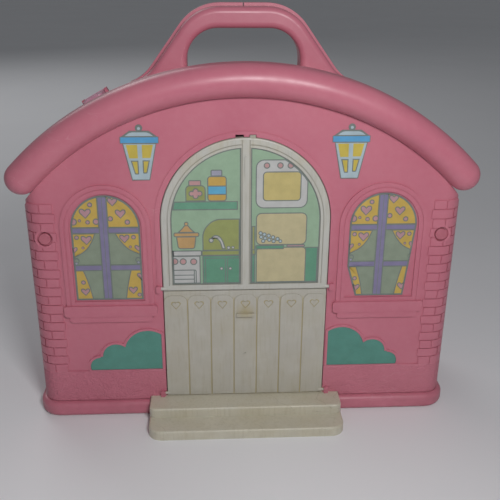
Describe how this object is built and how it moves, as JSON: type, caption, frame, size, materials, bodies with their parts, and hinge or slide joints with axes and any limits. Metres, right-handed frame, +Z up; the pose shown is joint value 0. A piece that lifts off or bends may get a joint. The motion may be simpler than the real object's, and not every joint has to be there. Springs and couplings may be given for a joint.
{
  "type": "fold-open toy playhouse",
  "caption": "Carry-along toy playhouse with an arched roof and a handle, a window hatch over a plank door, two rear wings that swing open, push buttons and a front step.",
  "frame": {"origin": "on the ground, on the centre line, in the parting plane between the fixed front half and the two rear wings", "axes": "+X to the right of the facade, +Y from the facade to the rear, +Z up"},
  "size_m": [0.4038, 0.168, 0.371],
  "materials": {
    "pink_shell": "satin",
    "cream": "satin",
    "window_print": "printed",
    "kitchen_print": "printed",
    "lamp_print": "printed",
    "bush_print": "printed",
    "button": "satin",
    "latch": "satin",
    "steel": "brushed"
  },
  "bodies": {
    "front_half": {"front_wall": "pink_shell", "front_roof": "pink_shell", "door_step": "cream", "roof_screws": "steel", "step_screws": "steel", "left_window_label": "window_print", "right_window_label": "window_print", "left_lamp_label": "lamp_print", "right_lamp_label": "lamp_print", "left_bush_label": "bush_print", "right_bush_label": "bush_print", "left_hinge_pin": "steel", "right_hinge_pin": "steel", "left_button_spring": "steel", "right_button_spring": "steel"},
    "left_wing": {"left_wing_wall": "pink_shell", "left_wing_roof": "pink_shell", "left_wing_screws": "steel", "latch_pin": "steel"},
    "right_wing": {"right_wing_wall": "pink_shell", "right_wing_roof": "pink_shell", "right_wing_screws": "steel"},
    "hatch": {"window_hatch": "cream", "left_kitchen_label": "kitchen_print", "right_kitchen_label": "kitchen_print"},
    "door": {"lower_door": "cream"},
    "left_press": {"left_button": "button", "left_button_clip": "steel"},
    "right_press": {"right_button": "button", "right_button_clip": "steel"},
    "latch": {"roof_latch": "latch"}
  },
  "joints": [
    {"name": "left_wing_hinge", "type": "hinge", "parent": "front_half", "child": "left_wing", "pos_m": [-0.1945, 0.0015, 0.12], "axis": [0, 0, 1], "range_deg": [0, 90]},
    {"name": "right_wing_hinge", "type": "hinge", "parent": "front_half", "child": "right_wing", "pos_m": [0.1945, 0.0015, 0.12], "axis": [0, 0, -1], "range_deg": [0, 90]},
    {"name": "window_hatch_hinge", "type": "hinge", "parent": "front_half", "child": "hatch", "pos_m": [0, -0.061, 0.131], "axis": [1, 0, 0], "range_deg": [0, 90]},
    {"name": "lower_door_hinge", "type": "hinge", "parent": "front_half", "child": "door", "pos_m": [0, -0.061, 0.0215], "axis": [1, 0, 0], "range_deg": [0, 90]},
    {"name": "left_button_press", "type": "slide", "parent": "front_half", "child": "left_press", "axis": [0, 1, 0], "range_m": [0, 0.003], "stiffness_N_per_m": 150, "springref_m": -0.002, "deforming": ["left_button_spring"]},
    {"name": "right_button_press", "type": "slide", "parent": "front_half", "child": "right_press", "axis": [0, 1, 0], "range_m": [0, 0.003], "stiffness_N_per_m": 150, "springref_m": -0.002, "deforming": ["right_button_spring"]},
    {"name": "roof_latch_pivot", "type": "hinge", "parent": "left_wing", "child": "latch", "pos_m": [-0.13251, 0.01, 0.29008], "axis": [-0.8712, 0, -0.4909], "range_deg": [0, 100]}
  ]
}
